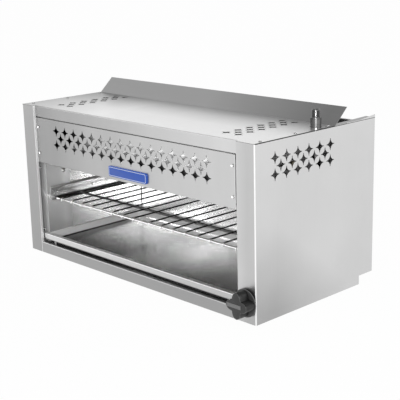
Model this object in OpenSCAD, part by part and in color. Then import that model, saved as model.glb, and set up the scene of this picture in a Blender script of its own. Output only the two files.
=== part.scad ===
// Gas cheese melter: a stainless cabinet open at the front, with a radiant burner in its hood,
// a sliding wire rack, a sliding drip tray and one gas control.
// X runs across the width, Y from the front to the back, and Z up, in millimetres.
// The origin is on the bench, under the middle of the base.

/* [Cabinet] */
// Overall width over the two side panels
body_w = 914.4; // [860:0.1:980]
// Height from the bench to the top panel
body_h = 436.6; // [425:0.1:460]
// Depth from the stiles to the back panel
body_d = 394.7; // [385:0.1:430]
// How far the side panels stand behind the back panel
standoff_d = 55.1; // [40:0.1:80]
// Thickness of the stainless sheet
sheet_t = 1.2; // [1:0.1:1.5]
// Outside radius of the bends at the front edges
bend_r = 2.8; // [2:0.1:4]
// Width of the left front stile
left_stile_w = 53; // [50:0.5:60]
// Width of the right front stile, which carries the knob
right_stile_w = 58; // [56:0.5:64]
// How far the front panel and the top rail lie behind the stiles
front_recess = 7.5; // [6.5:0.1:9]
// Height of the notch at the lower rear corner of each side
notch_h = 23.5; // [15:0.5:40]
// Width of the rear and bottom flanges of the sides
flange_w = 25; // [22:0.5:27]
// Width of the top flange of the sides, at the front
top_flange_w = 19; // [17:0.5:22]
// Width of the top flange of the sides, at the back
rear_flange_w = 28; // [26:0.5:32]
// How far the sides rise over the top panel at their rear corner
upstand_h = 6; // [3:0.5:10]

/* [Top panel and flue] */
// Height of the rail bent down from the front of the top panel
top_rail_h = 31.6; // [28:0.1:34]
// Depth of the hem of the top rail and of the front panel's edges
hem_d = 10; // [8:0.5:12]
// Distance from the stiles to the flue opening
flue_y = 288.7; // [284:0.1:296]
// How far the flue deflector leans back
deflector_run = 45.1; // [35:0.1:60]
// How far the flue deflector rises over the top panel
deflector_rise = 40.6; // [30:0.1:55]
// Width of the strip that joins the deflector to the top panel, from underneath
deflector_foot = 18; // [12:0.5:24]

/* [Star vents] */
// Star from tip to tip
star_size = 30; // [26:0.5:34]
// Width of a star's tip
star_tip = 1.6; // [1:0.1:2.5]
// Distance between the stars of a row
star_pitch = 40.3; // [38:0.1:42]
// Stars in the long rows of the front panel
front_stars = 16; // [12:1:17]
// Stars in the long rows of each side and top vent
vent_stars = 6; // [4:1:6]
// Height of the middle row of front stars over the panel's lower edge
front_star_rise = 80; // [74:0.5:84]
// Distance from the top panel down to the middle row of side stars
side_star_drop = 63; // [56:0.5:80]
// Distance from the stiles to the middle of the side vents
side_star_y = 170; // [160:1:190]
// Distance from the stiles to the middle of the top vents
top_star_y = 161; // [155:1:166]
// Distance from the cabinet's middle to each top vent
top_star_x = 330; // [300:1:345]

/* [Front panel] */
// Width of the removable front panel
panel_w = 793.6; // [780:0.1:796]
// Height of the front panel
panel_h = 130; // [122:0.5:136]
// Gap between the top rail and the front panel
panel_gap = 3; // [2:0.1:5]
// Gap between the left stile's inner edge and the panel
panel_left_gap = -0.6; // [-2:0.1:4]
// Distance from the panel's corners to the ends of its stiffeners
hem_relief = 13; // [10:0.5:18]
// Distance from the panel's ends to its screws
panel_screw_inset = 8.8; // [8:0.1:12]
// Distance from the upper to the lower screws
panel_screw_pitch = 75.2; // [60:0.1:90]

/* [Badge] */
// Width of the blank badge
badge_w = 153.7; // [120:0.1:180]
// Height of the blank badge
badge_h = 28.5; // [20:0.1:30]
// How far the badge stands out
badge_t = 5; // [2:0.1:6]
// Radius of its corners
badge_r = 6; // [3:0.1:9]
// Height of its middle over the bottom edge of the front panel
badge_rise = 23; // [20:0.5:28]

/* [Base] */
// Height of the bottom front rail
rail_h = 31; // [28:0.5:32]
// Depth of the rail's flanges
rail_flange_d = 18; // [14:0.5:20]
// Radius of the bench fixing holes
foot_hole_r = 4.25; // [3:0.05:5.5]
// Distance from each side to the bench fixing holes
foot_hole_inset = 100; // [90:1:140]
// Distance from the front and the back to the bench fixing holes
foot_hole_setback = 50; // [40:1:80]
// Radius of the wall fixing holes
wall_hole_r = 4.25; // [3:0.05:5.5]
// Distance from each side to the wall fixing holes
wall_hole_inset = 13; // [11:0.5:15]
// Height of the lower wall fixing holes
wall_hole_z = 110; // [80:1:140]
// Distance from the lower to the upper wall fixing holes
wall_hole_pitch = 250; // [200:1:260]

/* [Cavity liner] */
// Distance from each stile's inner edge to the liner wall
liner_inset = 4.2; // [3:0.1:5]
// Distance from the stiles to the liner's front flanges
liner_y = 25; // [23:0.5:28]
// Gap between the rear liner and the back panel
rear_gap = 5.5; // [4:0.1:12]
// Width of the liner's front flanges
liner_flange_w = 26; // [25:0.5:27]
// Height of the lower screw in the left liner's flange
liner_screw_z = 62; // [54:0.5:80]
// Distance from the front panel down to the upper screws in the liner's flanges
liner_screw_drop = 23; // [16:0.5:34]
// Height of the right liner's lower screw over the control's axis
liner_screw_rise = 38; // [34:0.5:48]
// Distance from the top panel down to the ceiling
ceiling_drop = 40.6; // [36:0.1:46]

/* [Wire rack] */
// Height of the rack's bars
rack_z = 157; // [140:0.5:180]
// Distance from the stiles to the rack's front bar
rack_y = 50; // [46:0.5:60]
// Distance from the rear bar to the rear liner
rack_rear_gap = 36.8; // [26:0.1:60]
// Distance from the front bar to the middle bar
rack_mid = 92; // [60:1:140]
// Diameter of the bars
bar_dia = 6.5; // [5:0.1:8]
// Diameter of the wires
wire_dia = 4.2; // [3:0.1:5]
// Distance between wires
wire_pitch = 46; // [40:0.5:47]
// Wires on each side of the middle
wires_a_side = 8; // [5:1:8]
// Gap between the two middle wires
wire_mid_gap = 64; // [40:0.5:66]
// Length of the wires' ends below the middle of the front bar
wire_tail = 3; // [1:0.5:6]
// Width of the rack guides' ledges
guide_w = 12; // [10:0.5:16]
// Height of the rack guides above their ledge
guide_h = 37; // [30:0.5:45]

/* [Drip tray] */
// Height of the tray's underside
tray_z = 35; // [34:0.1:38]
// Depth of the tray from its rim to its underside
tray_h = 20.3; // [18:0.1:24]
// Distance from the tray to the rear liner
tray_rear_gap = 17.6; // [14:0.1:40]
// How far the tray's sides lean out
tray_flare = 13; // [8:0.5:16]
// Height of the tray's front bar
tray_bar_h = 16.5; // [14:0.1:16.5]
// Distance from the stiles to the tray's front bar
tray_bar_y = 9.2; // [8.8:0.1:10]
// Width of the ledges that carry the tray
tray_ledge_w = 30; // [24:0.5:36]
// Distance from the left stile to the tray's stop
tray_stop_x = 50; // [30:1:90]

/* [Burner] */
// Distance from the liner walls to the burner
burner_inset = 35; // [32:1:38]
// Distance from the stiles to the burner
burner_y = 62; // [60:1:72]
// Length of the burner from front to back
burner_d = 200; // [190:1:205]
// Distance from the ceiling down to the burner's underside
burner_drop = 70; // [66:0.5:76]
// Thickness of a ceramic tile
tile_t = 13; // [10:0.5:15]
// Tiles along the burner
tiles_along = 8; // [6:1:10]
// Rods in the burner screen
screen_rods = 20; // [12:1:24]
// Outside radius of the venturi tube
venturi_r = 16; // [14:0.1:17]
// Distance from the stiles to the venturi tube
venturi_y = 160; // [150:1:190]
// Width of the air shutter
shutter_w = 12; // [10:0.5:12]

/* [Gas pipes] */
// Outside radius of the supply pipe
pipe_r = 10.65; // [8.5:0.05:11]
// Wall of the supply pipe
pipe_wall = 2.75; // [2:0.05:3]
// How far the threaded end is turned down
thread_cut = 0.25; // [0.1:0.05:0.4]
// Length of the threaded end's plain neck over the coupling
neck_h = 2; // [1:0.5:4]
// Radius of the inlet coupling
coupling_r = 13.5; // [13:0.1:15]
// How far the coupling stands over the top panel
coupling_rise = 23; // [15:0.5:30]
// How far the threaded inlet stands over the coupling
nipple_rise = 20; // [15:0.5:30]
// Distance from the stiles to the inlet
riser_y = 250; // [235:1:255]
// Radius of the burner feed tube
feed_r = 4.75; // [4:0.05:5]
// Radius of the pilot tube
pilot_r = 2.5; // [2:0.1:3]
// Distance from the stiles to the pilot valve and its tube
pilot_y = 112; // [106:1:118]

/* [Gas control] */
// Height of the control's axis
knob_z = 52; // [50:0.5:60]
// Diameter of the knob's skirt
skirt_dia = 70; // [62:0.5:74]
// Depth of the skirt
skirt_t = 7; // [5:0.5:9]
// Distance from the middle of the knob to the ends of its lobes
lobe_r = 33; // [28:0.5:34]
// Radius of the grip between its lobes
waist_r = 20; // [17:0.5:23]
// Radius of the flutes between the lobes
flute_r = 16; // [13:0.5:18]
// Depth of the lobed grip
grip_d = 30; // [24:0.5:36]
// Length of the pointer on the knob's face
pointer_len = 45; // [36:0.5:48]
// Width of the pointer
pointer_w = 9.5; // [5:0.1:11]
// Radius of the valve stem
stem_r = 4; // [3:0.05:5]

/* [Screws] */
// Radius of a screw's head
head_r = 4; // [3.5:0.1:4.5]
// Height of a screw's head
head_h = 2.4; // [1.8:0.1:3]
// Radius of a screw's shank
shank_r = 2; // [1.5:0.05:2.4]
// Distance from each side to the top screws
top_screw_inset = 11; // [10:0.1:13]
// Distance from the stiles to the first top screw
top_screw_y = 31; // [26:0.5:40]
// Distance between the top screws
top_screw_pitch = 122; // [110:0.5:122]

/* [Hidden] */
$fn = 48;

// Clearances
cut = 1;              // overshoot of a cut through a sheet
run_gap = 0.3;        // gap between pieces that move past each other
fit_gap = 0.05;       // radial gap of a tube in its socket
shaft_gap = 0.08;     // radial gap of a piece that turns on another
touch_gap = 0.02;     // gap between round bars that are welded together
knob_side_gap = 0.6;  // gap between the knob and what slides past it
tray_side_gap = 2;    // gap between the tray and what it slides between
hole_gap = 0.1;       // radial gap of a screw in its hole

// Finishes
steel = [0.80, 0.81, 0.82];
dark_steel = [0.55, 0.56, 0.57];
liner_steel = [0.72, 0.73, 0.74];
wire_chrome = [0.45, 0.46, 0.47];
ceramic = [0.90, 0.86, 0.78];
black_plastic = [0.12, 0.12, 0.13];
pointer_grey = [0.55, 0.55, 0.56];
badge_blue = [0.16, 0.31, 0.71];
brass = [0.75, 0.60, 0.30];
black_iron = [0.22, 0.22, 0.23];
zinc = [0.70, 0.71, 0.73];

// Cabinet
half_w = body_w / 2;
side_d = body_d + standoff_d;
side_h = body_h - sheet_t;
inner_l = -half_w + left_stile_w;
inner_r = half_w - right_stile_w;
stile_return = front_recess - run_gap;
top_rear_y = flue_y - sheet_t * deflector_run / deflector_rise;
deflector_angle = atan2(deflector_rise, deflector_run);
deflector_dy = sheet_t * sin(deflector_angle);
deflector_dz = sheet_t * cos(deflector_angle);
deflector_foot_y = flue_y + deflector_dy - (sheet_t - deflector_dz) * deflector_run / deflector_rise;
rail_z = body_h - top_rail_h;
rail_overlap = 6;
back_lip_d = 8;
pan_flange_h = 16;
back_y = body_d - sheet_t;

// Front panel
panel_top = rail_z - panel_gap;
panel_bottom = panel_top - panel_h;
panel_l = inner_l + panel_left_gap;
panel_r = panel_l + panel_w;
panel_mid = (panel_l + panel_r) / 2;
panel_back = front_recess + sheet_t;
front_star_z = panel_bottom + front_star_rise;
side_star_z = body_h - side_star_drop;
panel_screw_l = panel_l + panel_screw_inset;
panel_screw_r = panel_r - panel_screw_inset;
panel_screw_z = (panel_top + panel_bottom) / 2;
bracket_lap = 12;
bracket_margin = 6;
bracket_foot = 20;

// Liner
wall_l = inner_l + liner_inset;
wall_r = inner_r - liner_inset;
rear_liner_y = back_y - rear_gap - sheet_t;
liner_top_lap = 20;
liner_screw_inset = 22;
left_screw_zs = [liner_screw_z, panel_bottom - liner_screw_drop];
right_screw_zs = [knob_z + liner_screw_rise, panel_bottom - liner_screw_drop];
plug_r = 6.5;
plug_edge_t = 1;
plug_dome_h = 2;
plug_stem_r = 4;
plug_y = 89;
plug_z = 233;
ceiling_z = body_h - ceiling_drop;
frame_rail_lap = 12;
frame_rail_y = liner_y + sheet_t;
frame_rail_leg = 18;
liner_hole_gap = 1;
ceiling_flange_y = top_rear_y - deflector_foot / 2;
reflector_drop = 80;
reflector_lean = 22;
reflector_y = 30;
reflector_side_gap = 2;

// Rack
rack_d = rear_liner_y - rack_rear_gap - rack_y;
bar_r = bar_dia / 2;
wire_r = wire_dia / 2;
guide_ledge_z = rack_z - bar_r - run_gap;
guide_y = 38;
guide_rear_gap = 12;
guide_end_y = rear_liner_y - guide_rear_gap;
guide_screw_rise = 20;
guide_screw_z = guide_ledge_z + guide_screw_rise;
guide_screw_inset = 21;
guide_screw_pitch = 135;
guide_screw_tail = 30;
guide_screw_ys = [
    guide_y + guide_screw_inset, guide_y + guide_screw_inset + guide_screw_pitch,
    guide_end_y - guide_screw_tail
];
guide_nose_h = 14;
guide_nose_rise = 4;
guide_nose_z = guide_ledge_z + guide_nose_rise;
guide_nose_edge = 2;
guide_ear_w = 26;
rack_l = wall_l + sheet_t + 2 * run_gap + bar_r;
rack_r = wall_r - sheet_t - 2 * run_gap - bar_r;
rack_mid_x = (rack_l + rack_r) / 2;
rack_bend_r = 12;
wrap_r = bar_r + wire_r + touch_gap;
wire_rear_lap = 4;

// Tray
tray_rim_z = tray_z + tray_h;
tray_bar_d = 10;
tray_front_y = tray_bar_y + tray_bar_d;
tray_d = rear_liner_y - tray_rear_gap - tray_front_y;
service_x = inner_r + right_stile_w / 2;
knob_side_x = service_x - skirt_dia / 2 - knob_side_gap;
tray_l = wall_l + tray_side_gap;
tray_r = min(wall_r - tray_side_gap, knob_side_x);
tray_bar_l = inner_l + tray_side_gap;
tray_bar_r = min(inner_r - tray_side_gap, knob_side_x);
tray_bar_z = tray_rim_z + sheet_t - tray_bar_h;
tray_bar_corner = 8;
tray_ledge_z = tray_z - run_gap;
tray_guide_web = 18;
tray_guide_y = 30;
tray_guide_end_y = rear_liner_y - guide_rear_gap;
tray_screw_drop = 11;
tray_screw_z = tray_ledge_z - tray_screw_drop;
tray_screw_inset = 40;
tray_screw_ys = [tray_guide_y + tray_screw_inset, tray_guide_end_y - tray_screw_inset];
tray_stop_w = 9;
tray_stop_d = 5;

// Burner
burner_z = ceiling_z - burner_drop;
burner_l = wall_l + burner_inset;
burner_r = wall_r - burner_inset;
burner_end_y = burner_y + burner_d;
plenum_t = 1.5;
plenum_z = burner_z + sheet_t;
venturi_seat = 1.5;
plenum_h = tile_t + venturi_seat + 2 * venturi_r + venturi_seat + plenum_t;
retainer_lap = 14;
retainer_margin = 8;
retainer_lip = 10;
tile_gap = 0.6;
tiles_across = 2;
tile_w = (burner_r - burner_l - 2 * plenum_t) / tiles_along;
tile_d = (burner_d - 2 * plenum_t) / tiles_across;
screen_bar_r = 2;
screen_rod_r = 1.3;
screen_inset = 30;
screen_margin = 6;
burner_bracket_h = 25;
burner_bracket_gap = 2;

// Gas train
venturi_z = plenum_z + tile_t + venturi_seat + venturi_r;
venturi_wall = 2;
mouth_gap = 17;
mouth_x = service_x - mouth_gap;
venturi_reach = 25;
venturi_end_x = burner_r - venturi_reach;
shutter_inset = 2;
shutter_wall = 1.7;
air_hole_r = 4.5;
bore_r = pipe_r - pipe_wall;
socket_r = pipe_r + fit_gap;
elbow_wall = 4.5;
elbow_r = pipe_r + elbow_wall;
knuckle = 1;
elbow_reach = 24;
elbow_socket = 10;
coupling_drop = 14;
coupling_z = body_h - coupling_drop;
coupling_top = body_h + coupling_rise;
riser_seat = 10;
riser_top = coupling_z + riser_seat;
nipple_gap = 6;
nipple_z = riser_top + nipple_gap;
nipple_top = coupling_top + nipple_rise;
thread_r = pipe_r - thread_cut;
neck_r = thread_r - thread_cut;
inlet_hole_gap = 1;
valve_r = 16;
valve_y = frame_rail_y + 2 * sheet_t;
valve_len = 32;
valve_inlet_len = 24;
valve_inlet_wall = 3;
valve_inlet_r = pipe_r + valve_inlet_wall;
valve_socket = 12;
stem_hole_gap = 3;
stem_hole_r = stem_r + stem_hole_gap;
stem_seat = 17;
outlet_wall = 4;
outlet_r = feed_r + outlet_wall;
outlet_setback = 17;
outlet_y = valve_y + outlet_setback;
outlet_rise = 31;
outlet_z = knob_z + outlet_rise;
outlet_socket = 8;
bracket_half_w = 22;
bracket_half_h = 24;
bracket_screw_dz = 19;
orifice_r = 9;
orifice_half = 8;
orifice_hole_r = 1;
orifice_cone_len = 8;
orifice_cone_r = 5;
orifice_tip_r = 2.5;
orifice_boss_wall = 3;
orifice_boss_r = feed_r + orifice_boss_wall;
orifice_boss_len = 16;
orifice_seat = 9;
pilot_drop = 13;
pilot_z = burner_z - pilot_drop;
pilot_burner_r = 5;
pilot_burner_wall = 2;
pilot_burner_len = 40;
pilot_bore_len = 10;
pilot_end_gap = 14;
pilot_end_x = wall_r - pilot_end_gap;
pilot_band_wall = 4;
pilot_band_r = pipe_r + pilot_band_wall;
pilot_band_w = 16;
pilot_body_r = 7;
pilot_body_rise = 18;
pilot_body_top = knob_z + pilot_band_r + pilot_body_rise;
pilot_bracket_w = 12;
pilot_bracket_inset = 4;
pilot_bracket_wall = 2;

// Knob
knob_back = -1;
skirt_front = knob_back - skirt_t;
knob_face = skirt_front - grip_d;
skirt_round = 3;
grip_round = 2.5;
flute_x = (waist_r + flute_r) / sqrt(2);
pointer_t = 0.8;
pointer_margin = 1.5;
knob_bore_d = 22;

// Screws
screw_len = 7;
head_taper = 1.2;
top_screw_ys = [for (i = [0:2]) top_screw_y + i * top_screw_pitch];
back_screw_count = 4;
back_screw_rise = 9;
back_screw_drop = 18;
back_screw_low_z = sheet_t + back_screw_rise;
back_screw_high_z = side_h - back_screw_drop;
back_screw_inset = 120;
back_screw_span = body_w - 2 * back_screw_inset;

// ---------------------------------------------------------------- helpers

// Puts a piece that is drawn from the front plane of the stiles over the origin
module datum() translate([0, -body_d / 2, 0]) children();

// A block between two values on each axis
module block(x, y, z) translate([x[0], y[0], z[0]]) cube([x[1] - x[0], y[1] - y[0], z[1] - z[0]]);

// Round bars along each axis
module rod_x(r, x, y, z) translate([x[0], y, z]) rotate([0, 90, 0]) cylinder(r = r, h = x[1] - x[0]);
module rod_y(r, x, y, z) translate([x, y[1], z]) rotate([90, 0, 0]) cylinder(r = r, h = y[1] - y[0]);
module rod_z(r, x, y, z) translate([x, y, z[0]]) cylinder(r = r, h = z[1] - z[0]);

// A shape drawn in Y and Z, extruded along X
module extrude_x(x) translate([x[0], 0, 0]) rotate([90, 0, 90]) linear_extrude(x[1] - x[0]) children();

// A shape drawn in X and Z, extruded along Y
module extrude_y(y) translate([0, y[1], 0]) rotate([90, 0, 0]) linear_extrude(y[1] - y[0]) children();

// A folded angle of sheet: one leg along -X and one along +Y, with the bend at the origin
module angle_2d(x_leg, y_leg) {
    difference() {
        corner_2d(x_leg, y_leg, bend_r);
        translate([-sheet_t, sheet_t]) corner_2d(x_leg, y_leg, bend_r - sheet_t);
    }
}
module corner_2d(x_leg, y_leg, r) {
    translate([-x_leg, 0]) square([x_leg - r, y_leg]);
    translate([-x_leg, r]) square([x_leg, y_leg - r]);
    translate([-r, r]) circle(r = r);
}

// A four-pointed star between four circles
module star() {
    difference() {
        square(star_size, center = true);
        for (sx = [-1, 1], sy = [-1, 1])
            translate([sx, sy] * star_size / 2) circle(r = (star_size - star_tip) / 2);
    }
}

// Three rows of stars, with the middle row set between the others
module star_rows(count) {
    for (row = [-1:1], i = [0:count - 1 - (row == 0 ? 1 : 0)])
        translate([(i - (count - 1 - (row == 0 ? 1 : 0)) / 2) * star_pitch, row * star_pitch / 2]) star();
}

// A pan-head screw, its head's seat at the origin and its shank down -Z
module screw() {
    cylinder(r = head_r, h = head_h / 2);
    translate([0, 0, head_h / 2]) cylinder(r1 = head_r, r2 = head_r - head_taper, h = head_h / 2);
    translate([0, 0, -screw_len]) cylinder(r = shank_r, h = screw_len + head_h / 4);
}
module screw_up(x, y, z) translate([x, y, z]) screw();
module screw_front(x, y, z) translate([x, y, z]) rotate([90, 0, 0]) screw();
module screw_back(x, y, z) translate([x, y, z]) rotate([-90, 0, 0]) screw();
module screw_left(x, y, z) translate([x, y, z]) rotate([0, -90, 0]) screw();

// ---------------------------------------------------------------- cabinet

// Right-hand side: wall, stile, return and flanges in one folded sheet
module side_panel(stile_w) {
    stile_x = half_w - stile_w;
    difference() {
        union() {
            translate([half_w, 0, 0]) linear_extrude(side_h) angle_2d(stile_w, side_d);
            block([stile_x, stile_x + sheet_t], [0, stile_return], [sheet_t, side_h]);
            block([half_w - flange_w, half_w], [side_d - sheet_t, side_d], [notch_h, side_h]);
            block([half_w - flange_w, half_w], [sheet_t, back_y - sheet_t], [sheet_t, 2 * sheet_t]);
            translate([0, 0, side_h - sheet_t]) linear_extrude(sheet_t) polygon([
                [half_w, 0], [half_w, side_d], [half_w - rear_flange_w, side_d],
                [half_w - top_flange_w, flue_y], [half_w - top_flange_w, 0]
            ]);
            extrude_x([half_w - sheet_t, half_w]) polygon([
                [flue_y + deflector_run, side_h - sheet_t], [side_d, side_h - sheet_t],
                [side_d, body_h + upstand_h],
                [body_d - back_lip_d, body_h], [flue_y + deflector_run, body_h]
            ]);
        }
        block([half_w - flange_w - cut, half_w + cut], [body_d, side_d + cut], [-cut, notch_h]);
        extrude_x([half_w - sheet_t - cut, half_w + cut])
            translate([side_star_y, side_star_z]) star_rows(vent_stars);
        for (y = top_screw_ys)
            rod_z(shank_r + hole_gap, half_w - top_screw_inset, y, [side_h - 2 * sheet_t, side_h + cut]);
        for (i = [0, 1])
            rod_y(wall_hole_r, half_w - wall_hole_inset, [side_d - 2 * sheet_t, side_d + cut],
                wall_hole_z + i * wall_hole_pitch);
    }
}

module left_side_panel() color(steel) datum() mirror([1, 0, 0]) side_panel(left_stile_w);

module right_side_panel() {
    color(steel) datum() difference() {
        side_panel(right_stile_w);
        rod_y(stem_hole_r, service_x, [-cut, sheet_t + cut], knob_z);
        rod_z(coupling_r + inlet_hole_gap, service_x, riser_y, [side_h - 2 * sheet_t, side_h + cut]);
    }
}

module top_panel() {
    color(steel) datum() difference() {
        union() {
            block([-half_w, inner_l], [0, top_rear_y], [side_h, body_h]);
            block([inner_r, half_w], [0, top_rear_y], [side_h, body_h]);
            extrude_x([inner_l - rail_overlap, inner_r + rail_overlap]) translate([front_recess, body_h])
                rotate(180) angle_2d(top_rear_y - front_recess, top_rail_h);
            block([inner_l - rail_overlap, inner_r + rail_overlap], [front_recess, front_recess + hem_d],
                [rail_z, rail_z + sheet_t]);
        }
        for (sx = [-1, 1])
            translate([sx * top_star_x, top_star_y, side_h - cut]) rotate([0, 0, 90])
                linear_extrude(sheet_t + 2 * cut) star_rows(vent_stars);
        for (sx = [-1, 1], y = top_screw_ys)
            rod_z(shank_r + hole_gap, sx * (half_w - top_screw_inset), y, [side_h - cut, body_h + cut]);
        rod_z(coupling_r + inlet_hole_gap, service_x, riser_y, [side_h - cut, body_h + cut]);
    }
}

// A sloping plate over the flue opening
module flue_deflector() {
    color(steel) datum() extrude_x([-half_w, half_w]) polygon([
        [top_rear_y, side_h], [flue_y + deflector_run, body_h + deflector_rise],
        [flue_y + deflector_run + deflector_dy, body_h + deflector_rise - deflector_dz],
        [deflector_foot_y, side_h]
    ]);
}

// A flat strip under the joint of the deflector and the top panel
module deflector_strip() {
    strip_half = half_w - top_flange_w - run_gap;
    color(steel) datum() block([-strip_half, strip_half], [top_rear_y - deflector_foot, deflector_foot_y],
        [side_h - sheet_t, side_h]);
}

module back_screw_holes() {
    for (i = [0:back_screw_count - 1], z = [back_screw_low_z, back_screw_high_z])
        rod_y(shank_r + hole_gap, back_screw_x(i), [rear_liner_y - cut, body_d + cut], z);
}
function back_screw_x(i) = (i / (back_screw_count - 1) - 0.5) * back_screw_span;

module back_panel() {
    lip_half = half_w - rear_flange_w - run_gap;
    color(steel) datum() difference() {
        union() {
            block([-half_w + sheet_t, half_w - sheet_t], [back_y, body_d], [0, side_h - sheet_t]);
            block([-lip_half, lip_half], [body_d - back_lip_d, body_d],
                [side_h - 2 * sheet_t, side_h - sheet_t]);
        }
        back_screw_holes();
    }
}

module bottom_pan() {
    color(dark_steel) datum() difference() {
        union() {
            block([-half_w + sheet_t, half_w - sheet_t], [bend_r, back_y], [0, sheet_t]);
            block([-half_w + sheet_t, half_w - sheet_t], [back_y - sheet_t, back_y], [0, pan_flange_h]);
        }
        for (sx = [-1, 1], y = [foot_hole_setback, body_d - foot_hole_setback])
            rod_z(foot_hole_r, sx * (half_w - foot_hole_inset), y, [-cut, sheet_t + cut]);
        back_screw_holes();
    }
}

module bottom_front_rail() {
    color(steel) datum() {
        extrude_x([inner_l, inner_r]) translate([0, rail_h]) rotate(180) angle_2d(rail_flange_d, rail_h);
        block([inner_l, inner_r], [sheet_t, rail_flange_d], [sheet_t, 2 * sheet_t]);
    }
}

// An upright behind a stile, which ties the liner to the side
module frame_rail(wall_x, screw_zs) {
    difference() {
        union() {
            block([wall_x + frame_rail_lap, half_w - sheet_t], [frame_rail_y, frame_rail_y + sheet_t],
                [2 * sheet_t, side_h - sheet_t]);
            block([half_w - 2 * sheet_t, half_w - sheet_t], [frame_rail_y, frame_rail_y + frame_rail_leg],
                [2 * sheet_t, side_h - sheet_t]);
        }
        liner_screw_holes(wall_x, screw_zs);
    }
}

module liner_screw_holes(wall_x, screw_zs) {
    for (z = screw_zs)
        rod_y(shank_r + hole_gap, wall_x + liner_screw_inset, [liner_y - cut, frame_rail_y + 2 * sheet_t], z);
}

module left_frame_rail() color(dark_steel) datum() mirror([1, 0, 0]) frame_rail(-wall_l, left_screw_zs);

module right_frame_rail() {
    color(dark_steel) datum() difference() {
        frame_rail(wall_r, right_screw_zs);
        rod_y(stem_hole_r, service_x, [frame_rail_y - cut, frame_rail_y + sheet_t + cut], knob_z);
        valve_screw_holes();
    }
}

// ---------------------------------------------------------------- front panel

module panel_screw_holes() {
    for (x = [panel_screw_l, panel_screw_r], s = [-1, 1])
        rod_y(shank_r + hole_gap, x, [front_recess - cut, panel_back + 2 * sheet_t],
            panel_screw_z + s * panel_screw_pitch / 2);
}

module front_panel() {
    color(steel) datum() difference() {
        block([panel_l, panel_r], [front_recess, panel_back], [panel_bottom, panel_top]);
        extrude_y([front_recess - cut, panel_back + cut])
            translate([panel_mid, front_star_z]) star_rows(front_stars);
        panel_screw_holes();
    }
}

// Four strips on edge behind the edges of the front panel
module front_panel_stiffeners() {
    y = [panel_back, panel_back + hem_d - sheet_t];
    color(steel) datum() {
        for (z = [panel_bottom, panel_top - sheet_t])
            block([panel_l + hem_relief, panel_r - hem_relief], y, [z, z + sheet_t]);
        for (x = [panel_l, panel_r - sheet_t])
            block([x, x + sheet_t], y, [panel_bottom + hem_relief, panel_top - hem_relief]);
    }
}

// A stepped bracket from the liner's flange to the back of the front panel
module panel_bracket(screw_x, wall_x) {
    inner_x = screw_x - bracket_lap;
    z = [panel_bottom + hem_relief + bracket_margin, panel_top - hem_relief - bracket_margin];
    block([inner_x, screw_x + panel_screw_inset - 2 * sheet_t], [panel_back, panel_back + sheet_t], z);
    block([inner_x, inner_x + sheet_t], [panel_back, liner_y], z);
    block([inner_x, wall_x + bracket_foot], [liner_y - sheet_t, liner_y], z);
}

module front_panel_brackets() {
    color(dark_steel) datum() difference() {
        union() {
            panel_bracket(panel_screw_r, wall_r);
            mirror([1, 0, 0]) panel_bracket(-panel_screw_l, -wall_l);
        }
        panel_screw_holes();
    }
}

module badge_plate() {
    color(badge_blue) datum() extrude_y([front_recess - badge_t, front_recess])
        translate([0, panel_bottom + badge_rise]) {
            square([badge_w - 2 * badge_r, badge_h], center = true);
            square([badge_w, badge_h - 2 * badge_r], center = true);
            for (sx = [-1, 1], sz = [-1, 1])
                translate([sx * (badge_w / 2 - badge_r), sz * (badge_h / 2 - badge_r)]) circle(r = badge_r);
        }
}

// ---------------------------------------------------------------- cavity

// A side wall of the cavity with its front flange
module side_liner(wall_x, screw_zs) {
    difference() {
        union() {
            block([wall_x, wall_x + sheet_t], [liner_y, rear_liner_y], [sheet_t, ceiling_z]);
            block([wall_x, wall_x + liner_flange_w], [liner_y, liner_y + sheet_t], [sheet_t, ceiling_z]);
        }
        liner_screw_holes(wall_x, screw_zs);
        guide_screw_holes(wall_x);
        tray_screw_holes(wall_x);
    }
}

module left_liner() {
    color(liner_steel) datum() difference() {
        mirror([1, 0, 0]) side_liner(-wall_l, left_screw_zs);
        rod_x(plug_stem_r + hole_gap, [wall_l - sheet_t - cut, wall_l + cut], plug_y, plug_z);
    }
}

// A domed plug in the left wall
module liner_plug() {
    color(zinc) datum() {
        rod_x(plug_r, [wall_l, wall_l + plug_edge_t], plug_y, plug_z);
        translate([wall_l + plug_edge_t, plug_y, plug_z]) rotate([0, 90, 0])
            cylinder(r1 = plug_r, r2 = plug_r / 2, h = plug_dome_h);
        rod_x(plug_stem_r, [wall_l - 2 * sheet_t, wall_l + plug_edge_t], plug_y, plug_z);
    }
}

module right_liner() {
    color(liner_steel) datum() difference() {
        side_liner(wall_r, right_screw_zs);
        rod_x(venturi_r + liner_hole_gap, [wall_r - cut, wall_r + sheet_t + cut], venturi_y, venturi_z);
        rod_x(pilot_r + liner_hole_gap, [wall_r - cut, wall_r + sheet_t + cut], pilot_y, pilot_z);
    }
}

module rear_liner() {
    x = [wall_l - sheet_t, wall_r + sheet_t];
    step_z = side_h - sheet_t - 2 * liner_top_lap;
    color(liner_steel) datum() difference() {
        union() {
            block(x, [rear_liner_y, rear_liner_y + sheet_t], [sheet_t, step_z + sheet_t]);
            block(x, [rear_liner_y, back_y], [step_z, step_z + sheet_t]);
            block(x, [back_y - sheet_t, back_y], [step_z, side_h - 2 * sheet_t - run_gap]);
        }
        back_screw_holes();
    }
}

module ceiling_panel() {
    x = [wall_l - sheet_t, wall_r + sheet_t];
    color(liner_steel) datum() {
        block(x, [liner_y, ceiling_flange_y], [ceiling_z, ceiling_z + sheet_t]);
        block(x, [ceiling_flange_y - sheet_t, ceiling_flange_y], [ceiling_z, side_h - sheet_t]);
    }
}

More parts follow.
